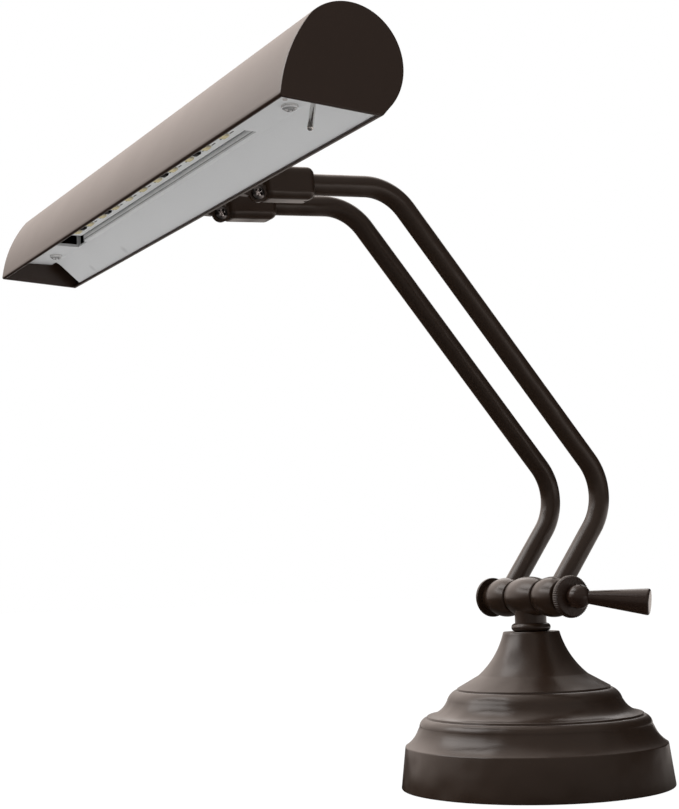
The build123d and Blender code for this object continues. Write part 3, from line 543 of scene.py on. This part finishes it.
for side, hand in ((-1, "left"), (1, "right")):
    edge = np.concatenate([back_edge, outer_sheet, front_hem[:8]])
    away = np.roll(edge, -1, axis=0) - np.roll(edge, 1, axis=0)
    away = np.stack([away[:, 1], -away[:, 0]], axis=1)
    away /= np.linalg.norm(away, axis=1)[:, None]
    rows = [
        (0.0, shell_half), (0.0, shade_half - 0.2), (0.06, shade_half - 0.06),
        (0.2, shade_half), (0.32, shade_half),
    ]
    rings = []
    for inset, x in rows:
        ring = edge - away * inset
        rings.append(np.column_stack([np.full(len(ring), side * x), ring]))
    plate = (np.concatenate(rings), capped_faces(len(rings), len(edge)))
    rim_outer, rim_inner = hood_line(1.05), hood_line(2.25)
    held = rim_outer[:, 1] > shade_z - 3.1
    rim = np.concatenate([rim_outer[held], rim_inner[held][::-1]])
    rim_shell = stretched(rim, sorted((side * shell_half, side * (shell_half - 4.0))))
    finish_mesh(f"hood_end_{hand}", *joined(plate, rim_shell), "shade", [f"end_cap_{hand}"],
                shade_bronze, "shade_bronze", 30.0)


# ------------------------------------------------------------ reflector
# A sheet of aluminium enamelled matt white, folded once, with a slot for the
# lights; the channel that holds the board is bent from the same sheet.
white_enamel = coated("white_enamel", (0.78, 0.78, 0.78), 0.55, cloud=(14.0, 0.05), grain=(1400.0, 0.03),
                      bump=(0.08, 0.0001), specular=0.3)


def ramp(n, links, source, start, end, low, high, smooth=True):
    """A value that goes from low to high while its source goes from start to end."""
    made = n.new("ShaderNodeMapRange")
    if smooth:
        made.interpolation_type = "SMOOTHSTEP"
    for name, value in (("From Min", start), ("From Max", end), ("To Min", low), ("To Max", high)):
        made.inputs[name].default_value = value
    links.new(source, made.inputs["Value"])
    return made.outputs[0]


def marked(material, marks, factor):
    """Multiply a coat's tone by a factor wherever one of the masks is 1."""
    n, links = material.node_tree.nodes, material.node_tree.links
    skin = next(one for one in n if one.type == "BSDF_PRINCIPLED")
    source = skin.inputs["Base Color"].links[0].from_socket
    place = n.new("ShaderNodeTexCoord")
    total = None
    for make in marks:
        mask = make(n, links, place.outputs["Object"])
        total = mask if total is None else reckon(n, links, "MAXIMUM", total, mask)
    scaled = n.new("ShaderNodeVectorMath")
    scaled.operation = "SCALE"
    links.new(source, scaled.inputs[0])
    links.new(ramp(n, links, total, 0.0, 1.0, 1.0, factor, smooth=False), scaled.inputs["Scale"])
    links.new(scaled.outputs[0], skin.inputs["Base Color"])


def spot(centre, clear, full):
    """1 up to the full distance from a point, falling smoothly to 0 at the clear one."""
    def make(n, links, place):
        reach = n.new("ShaderNodeVectorMath")
        reach.operation = "DISTANCE"
        reach.inputs[1].default_value = [v * MM for v in centre]
        links.new(place, reach.inputs[0])
        return ramp(n, links, reach.outputs["Value"], full * MM, clear * MM, 1.0, 0.0)
    return make


def between(axis, low, high):
    """1 where one coordinate lies between two values, and 0 elsewhere."""
    def make(n, links, place):
        parts = n.new("ShaderNodeSeparateXYZ")
        links.new(place, parts.inputs[0])
        middle, half = (low + high) / 2 * MM, (high - low) / 2 * MM
        return reckon(n, links, "COMPARE", parts.outputs[axis], middle, half)
    return make


# The enamel is darkened to 80% in two soft spots low on its slant, near the back lip.
spots_y, spots_z = -170.7, 256.1
dark_spots = [spot((-79.6, spots_y, spots_z), 3.4, 0.6), spot((-125.1, spots_y, spots_z), 3.2, 0.6)]
marked(white_enamel, dark_spots, 0.80)
dressed(["reflector"], white_enamel)
# The channel has the reflector's enamel, made paler here as painted light so that its wall, which sits in
# shade, reads as bright as the reflector.
channel_lit_enamel = coated(
    "channel_lit_enamel", (0.90, 0.90, 0.90), 0.5, cloud=(14.0, 0.04), grain=(1400.0, 0.03), specular=0.3)
# A band of painted shade darkens the channel low on its wall, along the slot's edge.
shade_line_low_z, shade_line_high_z = 265.7, 266.25
marked(channel_lit_enamel, [between("Z", shade_line_low_z, shade_line_high_z)], 0.35)
dressed(["led_channel"], channel_lit_enamel)


# ------------------------------------------------------------ screws
# Domed screws with cross recesses, turned steel: two, nickel plated, draw the
# reflector up, and two, dark plated, carry the shade's brackets on the blocks.
nickel_grain = dict(cloud=(200.0, 0.08), grain=(1500.0, 0.06), bump=(0.06, 0.0001))
bright_nickel = coated("bright_nickel", (0.80, 0.79, 0.77), 0.12, 0.85, **nickel_grain)
screw_nickel = coated("screw_nickel", (0.90, 0.89, 0.88), 0.12, 0.65, **nickel_grain)
dark_plating = coated("dark_plating", (0.12, 0.115, 0.115), 0.18, 1.0, grain=(1500.0, 0.1))
pivot_y, pivot_z, pivot_seat, recess_reach = -149.1, 261.45, 6.45, 1.245
recess_x = [side * arm_x + pivot_seat + recess_reach for side in (-1, 1)]
marked(dark_plating, [spot((x, pivot_y, pivot_z), 1.7, 0.8) for x in recess_x], 8.0)


def cross_screw(seat, way, side, head_r, crown, shank_r, length, turn):
    """A domed screw with a cross recess, as one closed shell.

    At radius r the head stands crown * (1 - 0.55 (r / head_r)^2) off its seat.
    The recess sinks it by its depth where the lesser of |u| and |v| is under
    half the slot's width and r is under half its length, with sloping walls.
    """
    half_wide, half_long, depth = 0.45, 1.75, 1.2
    way, side = np.array(way, float), np.array(side, float)
    t = np.linspace(0, 2 * math.pi, 96, endpoint=False)[:, None]
    r = np.linspace(0, head_r, 40)[None, :]
    u, v = r * np.cos(t + turn), r * np.sin(t + turn)
    slot = np.clip(0.5 + (half_wide - np.minimum(abs(u), abs(v))) / 0.35, 0, 1)
    slot = slot * np.clip(0.5 + (half_long - r) / 0.4, 0, 1)
    head = crown * (1 - 0.55 * (r / head_r) ** 2) - depth * slot
    tail_r = np.array([[head_r, shank_r, shank_r, 0.0]])
    tail_h = np.array([[0.0, 0.0, -length, -length]])
    r = np.concatenate([r, tail_r], axis=1)
    h = np.concatenate([head, np.broadcast_to(tail_h, (len(t), 4))], axis=1)
    ring = np.cos(t) * side + np.sin(t) * np.cross(way, side)
    points = np.array(seat, float) + h[..., None] * way + r[..., None] * ring[:, None, :]
    return points.reshape(-1, 3), grid_faces(len(t), r.shape[1], True, False)


cross_turn, panel_y, panel_low_z = 0.44, -184.88, 264.5
panel_screws = [
    cross_screw((x, panel_y, panel_low_z), (0, 0, -1), ACROSS, 2.8, 1.8, 1.5, 5.3, cross_turn)
    for x in (-137.46, 128.46)
]
finish_mesh("panel_screws", *joined(*panel_screws), "shade", ["reflector_screws"],
            screw_nickel, "bright_nickel", 50.0)
tilt_screws = [
    cross_screw((side * arm_x + pivot_seat, pivot_y, pivot_z), ACROSS, UP, 2.9, 1.5, 1.6, 3.25, cross_turn)
    for side in (-1, 1)
]
finish_mesh("tilt_screws", *joined(*tilt_screws), "arms", ["pivot_screws"],
            dark_plating, "zinc_steel", 50.0)
dressed(["screw_washers", "panel_rivet"], bright_nickel)
dressed(["screw_spacers", "reflector_bridges", "bracket_rivets", "toggle_pin"], zinc_steel)


# ------------------------------------------------------------ light board
# A white-masked circuit board with eleven lamp chips under cream phosphor
# gel, four black rectifiers and their solder pads, and the driver behind it.
board_z, row_y, chip_first, chip_pitch = 267.6, -188.3, -93.7, 17.18
chip_places = np.array([(chip_first + i * chip_pitch, row_y) for i in range(11)])
part_places = np.array([(chip_first + (i + 0.5) * chip_pitch, row_y) for i in (0, 2, 6, 8)])


def moulded(places, half_x, half_y, top, depth, corner, edge):
    """Closed blocks with rounded corners and an eased lower edge, one at each place.

    A rounded rectangle is carried down its depth, and over the last edge of
    the way it draws in by edge * (1 - cos a) while it falls by edge * sin a.
    """
    flat = eased([(-half_x, -half_y), (half_x, -half_y), (half_x, half_y), (-half_x, half_y)], corner, 3)
    a = np.radians(np.linspace(0, 90, 4))
    drop = np.concatenate([[0.0], depth - edge + edge * np.sin(a)])
    draw = np.concatenate([[0.0], edge * (1 - np.cos(a))])
    rings = flat[None] * (1 - draw[:, None, None] / np.array([half_x, half_y]))
    one = np.concatenate([rings, np.broadcast_to((top - drop)[:, None, None], (*rings.shape[:2], 1))], axis=2)
    faces = capped_faces(len(rings), len(flat))
    return joined(*((one.reshape(-1, 3) + (x, y, 0.0), faces) for x, y in places))


def end_places(places, reach):
    """The places a reach to either side of each place along X."""
    return np.concatenate([places - (reach, 0.0), places + (reach, 0.0)])


def dashes(reach, half_long, row, half_wide):
    """1 on short dashes at a reach either side of every chip, in two rows."""
    def make(n, links, place):
        parts = n.new("ShaderNodeSeparateXYZ")
        links.new(place, parts.inputs[0])
        along = reckon(n, links, "SUBTRACT", parts.outputs["X"], (chip_first - chip_pitch / 2) * MM)
        along = reckon(n, links, "FRACT", reckon(n, links, "DIVIDE", along, chip_pitch * MM))
        along = reckon(n, links, "ABSOLUTE", reckon(n, links, "SUBTRACT", along, 0.5))
        along = reckon(n, links, "COMPARE", along, reach / chip_pitch, half_long / chip_pitch)
        across = reckon(n, links, "SUBTRACT", parts.outputs["Y"], row_y * MM)
        across = reckon(n, links, "ABSOLUTE", across)
        across = reckon(n, links, "COMPARE", across, row * MM, half_wide * MM)
        return reckon(n, links, "MULTIPLY", along, across)
    return make


board_white = coated("board_white", (0.84, 0.84, 0.83), 0.5, grain=(1500.0, 0.05))
# Short dark dashes mark small parts beside every chip, and a strip of painted shadow runs along the board's
# edge where it meets the channel's wall.
shade_stripe_near_y, shade_stripe_far_y = -183.35, -182.8
print_and_shade_marks = [dashes(4.6, 1.7, 1.5, 0.35), between("Y", shade_stripe_near_y, shade_stripe_far_y)]
marked(board_white, print_and_shade_marks, 0.10)
chip_case = coated("chip_case", (0.80, 0.72, 0.52), 0.4, grain=(2500.0, 0.05))
chip_phosphor = coated("chip_phosphor", (0.84, 0.72, 0.42), 0.25, grain=(3000.0, 0.1))
solder = coated("solder", (0.55, 0.55, 0.54), 0.3, 1.0, grain=(2500.0, 0.1))
part_black = coated("part_black", (0.006, 0.006, 0.007), 0.4, grain=(2500.0, 0.1), specular=0.25)
dressed(["led_board"], board_white)
chips = moulded(chip_places, 2.1, 1.75, board_z, 0.8, 0.2, 0.12)
finish_mesh("chip_cases", *chips, "shade", ["led_chips"], chip_case, "chip_phosphor", 40.0)
gels = moulded(chip_places, 1.8, 1.45, board_z - 0.65, 0.45, 0.4, 0.25)
finish_mesh("chip_gels", *gels, "shade", ["led_chips"], chip_phosphor, "chip_phosphor", 40.0)
rectifiers = moulded(part_places, 2.2, 1.1, board_z, 1.1, 0.25, 0.35)
finish_mesh("rectifiers", *rectifiers, "shade", ["board_parts"], part_black, "black_plastic", 40.0)
pads = joined(moulded(end_places(chip_places, 2.55), 0.3, 1.1, board_z, 0.15, 0.1, 0.08),
              moulded(end_places(part_places, 2.35), 0.35, 0.5, board_z, 0.3, 0.1, 0.1))
finish_mesh("solder_pads", *pads, "shade", ["board_parts"], solder, "bright_nickel", 40.0)
dressed(["led_driver", "toggle_body"], black_plastic)


# ------------------------------------------------------------ toggle lever
# The switch's lever is turned brass, plated bright, slim where it leaves the
# panel and domed at its tip.
toggle_pivot = np.array([146.0, -183.48, 266.9])
tilt, tip_r, tip_reach = math.radians(9.8), 1.15, 15.3
lever_way = np.array([0.0, -math.sin(tilt), -math.cos(tilt)])
lever_dome = np.radians(np.linspace(90, 0, 16))
lever_outline = np.concatenate([
    [(0.0, -0.9), (0.75, -0.7), (0.9, 0.2)],
    np.stack([tip_r * np.sin(lever_dome), tip_reach + tip_r * np.cos(lever_dome)], axis=1),
])
lever_outline[-1, 0] = 0.0
points, faces = turned_points(lever_outline, toggle_pivot, lever_way, ACROSS, 64)
finish_mesh("switch_lever", points, faces, "toggle", ["toggle_lever"], bright_nickel, "bright_nickel", 60.0)


# ------------------------------------------------------------ studio
# A pale floor under a white surround, one broad soft lamp in front and above,
# and a weaker one behind. Mirrored rays see a floor and surround of their own.
floor_half = 6.0
span = np.array([-floor_half, floor_half])
floor_points = np.stack([*np.meshgrid(span, span), np.zeros((2, 2))], axis=2).reshape(-1, 3)
floor_mesh = bpy.data.meshes.new("floor")
floor_mesh.from_pydata(floor_points.tolist(), [], [[0, 1, 3, 2]])
floor = bpy.data.objects.new("floor", floor_mesh)
bpy.context.scene.collection.objects.link(floor)


def glowing(n, kind, colour, strength):
    """An emission or background node of a colour, at a plain or a linked strength."""
    made = n.new(kind)
    made.inputs["Color"].default_value = (*colour, 1.0)
    made.inputs["Strength"].default_value = strength
    return made


def switched(n, links, amount, first, second):
    """Two shaders mixed by an amount, which is 0 for the first and 1 for the second."""
    made = n.new("ShaderNodeMixShader")
    links.new(amount, made.inputs["Fac"])
    links.new(first.outputs[0], made.inputs[1])
    links.new(second.outputs[0], made.inputs[2])
    return made


white = (1.0, 1.0, 1.0)
floor_pale, n, links = new_material("floor_pale")
out = n.new("ShaderNodeOutputMaterial")
seen = n.new("ShaderNodeLightPath")
matt = n.new("ShaderNodeBsdfDiffuse")
matt.inputs["Color"].default_value = (0.80, 0.80, 0.80, 1.0)
glow = glowing(n, "ShaderNodeEmission", white, 1.1)
camera_share = reckon(n, links, "MULTIPLY", seen.outputs["Is Camera Ray"], 0.90)
lit_floor = switched(n, links, camera_share, matt, glow)
place = n.new("ShaderNodeTexCoord")
parts = n.new("ShaderNodeSeparateXYZ")
links.new(place.outputs["Object"], parts.inputs[0])
far_light = ramp(n, links, parts.outputs["Y"], -0.05, 0.9, 0.0, 1.2, smooth=False)
side_light = ramp(n, links, parts.outputs["X"], 0.0, 0.8, 0.0, 0.26)
mirrored = glowing(n, "ShaderNodeEmission", (1.0, 0.9, 0.84), 1.0)
links.new(reckon(n, links, "ADD", far_light, side_light), mirrored.inputs["Strength"])
whole_floor = switched(n, links, seen.outputs["Is Glossy Ray"], lit_floor, mirrored)
links.new(whole_floor.outputs[0], out.inputs["Surface"])
floor_mesh.materials.append(floor_pale)

surround = bpy.data.worlds.new("surround")
bpy.context.scene.world = surround
surround.use_nodes = True
n, links = surround.node_tree.nodes, surround.node_tree.links
n.clear()
out = n.new("ShaderNodeOutputWorld")
seen = n.new("ShaderNodeLightPath")
place = n.new("ShaderNodeTexCoord")
facing = n.new("ShaderNodeVectorMath")
facing.operation = "DOT_PRODUCT"
facing.inputs[1].default_value = (-0.80, -0.20, 0.57)
links.new(place.outputs["Generated"], facing.inputs[0])
ways = n.new("ShaderNodeSeparateXYZ")
links.new(place.outputs["Generated"], ways.inputs[0])
key_side = ramp(n, links, facing.outputs["Value"], 0.25, 0.95, 0.28, 1.34)
back_fall = ramp(n, links, ways.outputs["Y"], 0.35, 0.9, 1.0, 0.12)
low_fall = ramp(n, links, ways.outputs["Z"], 0.15, 0.5, 0.80, 1.36)
dimmed = reckon(n, links, "MULTIPLY", reckon(n, links, "MULTIPLY", key_side, back_fall), low_fall)
glossy = glowing(n, "ShaderNodeBackground", (1.0, 0.88, 0.81), 1.0)
links.new(dimmed, glossy.inputs["Strength"])
soft = glowing(n, "ShaderNodeBackground", white, 0.44)
backdrop = glowing(n, "ShaderNodeBackground", white, 1.0)
by_gloss = switched(n, links, seen.outputs["Is Glossy Ray"], soft, glossy)
by_camera = switched(n, links, seen.outputs["Is Camera Ray"], by_gloss, backdrop)
links.new(by_camera.outputs[0], out.inputs["Surface"])


def soft_lamp(name, place, aim, size, power):
    """A square area lamp that points at a place."""
    lamp = bpy.data.lights.new(name, "AREA")
    lamp.shape = "SQUARE"
    lamp.size = size
    lamp.energy = power
    holder = bpy.data.objects.new(name, lamp)
    holder.location = place
    holder.rotation_euler = (Vector(aim) - Vector(place)).to_track_quat("-Z", "Y").to_euler()
    bpy.context.scene.collection.objects.link(holder)


soft_lamp("lamp_over", (-0.5, -1.0, 1.2), (0.0, -0.05, 0.12), 1.3, 14.0)
soft_lamp("lamp_behind", (-0.9, 0.7, 0.9), (0.0, -0.05, 0.15), 0.8, 2.0)

bpy.context.scene.view_settings.view_transform = "Standard"
